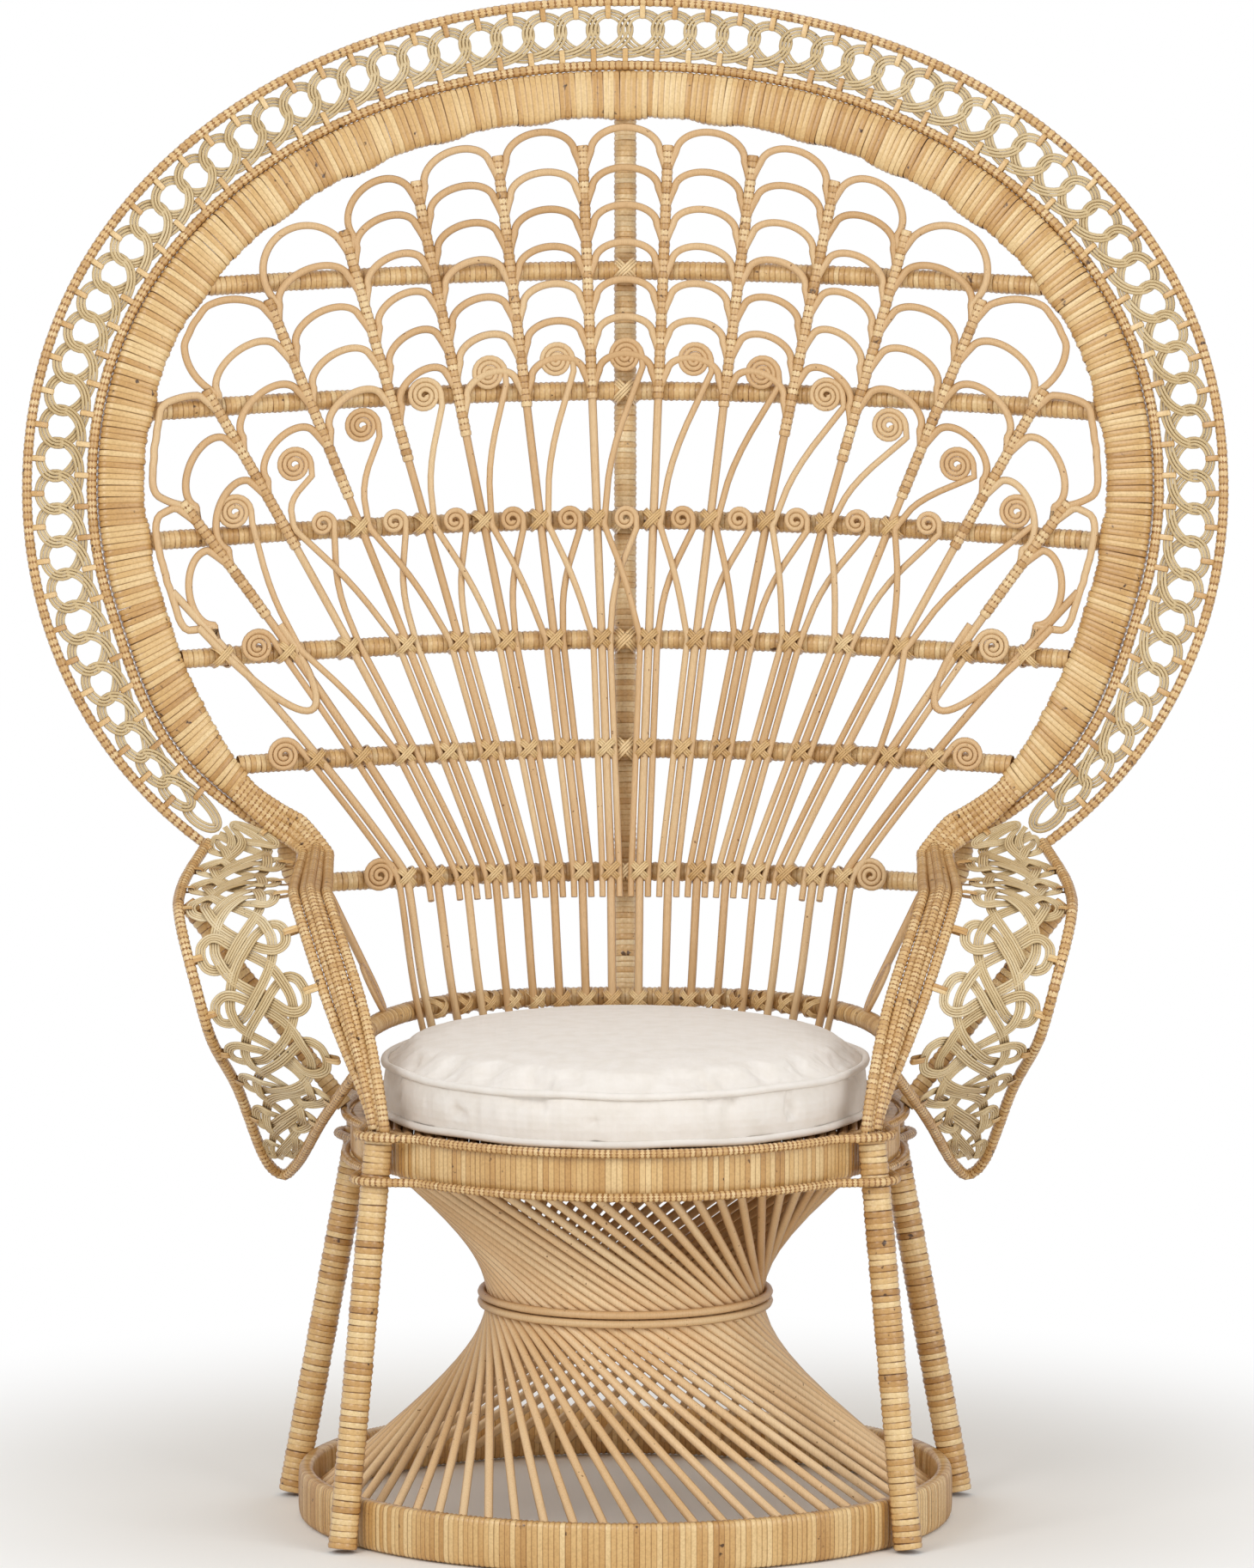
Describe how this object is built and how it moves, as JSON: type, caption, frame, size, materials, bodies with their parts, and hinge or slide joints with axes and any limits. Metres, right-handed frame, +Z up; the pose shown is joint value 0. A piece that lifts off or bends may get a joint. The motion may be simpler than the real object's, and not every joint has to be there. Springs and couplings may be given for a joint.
{
  "type": "rattan peacock chair",
  "caption": "Rattan peacock chair with an hourglass cane base, round seat, loose round cushion and a tall dished fan back with scrolls, scallops and a lace border.",
  "frame": {"origin": "middle of the bounding box in plan, on the floor under the base ring", "axes": "+Z up, -Y the way the sitter looks, +X to the right in a front view, which is the sitter's left"},
  "size_m": [1.1478, 0.7432, 1.4045],
  "materials": {
    "wrapped_rattan": "rod or band closely wrapped in glossy cane strip",
    "peeled_cane": "smooth peeled round cane, satin",
    "lace_reed": "flat split reed, pale khaki, satin",
    "linen": "plain off-white linen cover with piping"
  },
  "bodies": {
    "chair": {"base_ring": "wrapped_rattan", "front_leg_left": "wrapped_rattan", "rear_leg_left": "wrapped_rattan", "front_leg_right": "wrapped_rattan", "rear_leg_right": "wrapped_rattan", "hourglass_canes": "peeled_cane", "waist_hoop_upper": "peeled_cane", "waist_hoop_lower": "peeled_cane", "seat_apron": "wrapped_rattan", "seat_frame": "wrapped_rattan", "seat_deck": "peeled_cane", "seat_top_trim": "wrapped_rattan", "seat_bottom_trim": "wrapped_rattan", "back_hoop": "wrapped_rattan", "hoop_trim": "wrapped_rattan", "outer_rim": "wrapped_rattan", "lace_border": "lace_reed", "arm_rod_outer_left": "wrapped_rattan", "arm_rod_inner_left": "wrapped_rattan", "arm_rod_outer_right": "wrapped_rattan", "arm_rod_inner_right": "wrapped_rattan", "back_rail_1": "wrapped_rattan", "back_rail_2": "wrapped_rattan", "back_rail_3": "wrapped_rattan", "back_rail_4": "wrapped_rattan", "back_rail_5": "wrapped_rattan", "back_rail_6": "wrapped_rattan", "seat_back_rail": "wrapped_rattan", "center_post": "wrapped_rattan", "fan_stalk_01": "peeled_cane", "fan_stalk_02": "peeled_cane", "fan_stalk_03": "peeled_cane", "fan_stalk_04": "peeled_cane", "fan_stalk_05": "peeled_cane", "fan_stalk_06": "peeled_cane", "fan_stalk_07": "peeled_cane", "fan_stalk_08": "peeled_cane", "fan_stalk_09": "peeled_cane", "fan_stalk_10": "peeled_cane", "fan_stalk_11": "peeled_cane", "fan_stalk_12": "peeled_cane", "fan_stalk_13": "peeled_cane", "fan_stalk_14": "peeled_cane", "fan_stalk_15": "peeled_cane", "fan_stalk_16": "peeled_cane", "wing_rim_left": "wrapped_rattan", "wing_brace_left": "wrapped_rattan", "wing_rim_right": "wrapped_rattan", "wing_brace_right": "wrapped_rattan", "wing_weave_left": "lace_reed", "arm_scroll_left": "peeled_cane", "wing_weave_right": "lace_reed", "arm_scroll_right": "peeled_cane"},
    "loose_cushion": {"cushion": "linen"}
  },
  "joints": [
    {"name": "cushion_lift", "type": "slide", "parent": "chair", "child": "loose_cushion", "axis": [0, 0, 1], "range_m": [0, 0.3]}
  ]
}
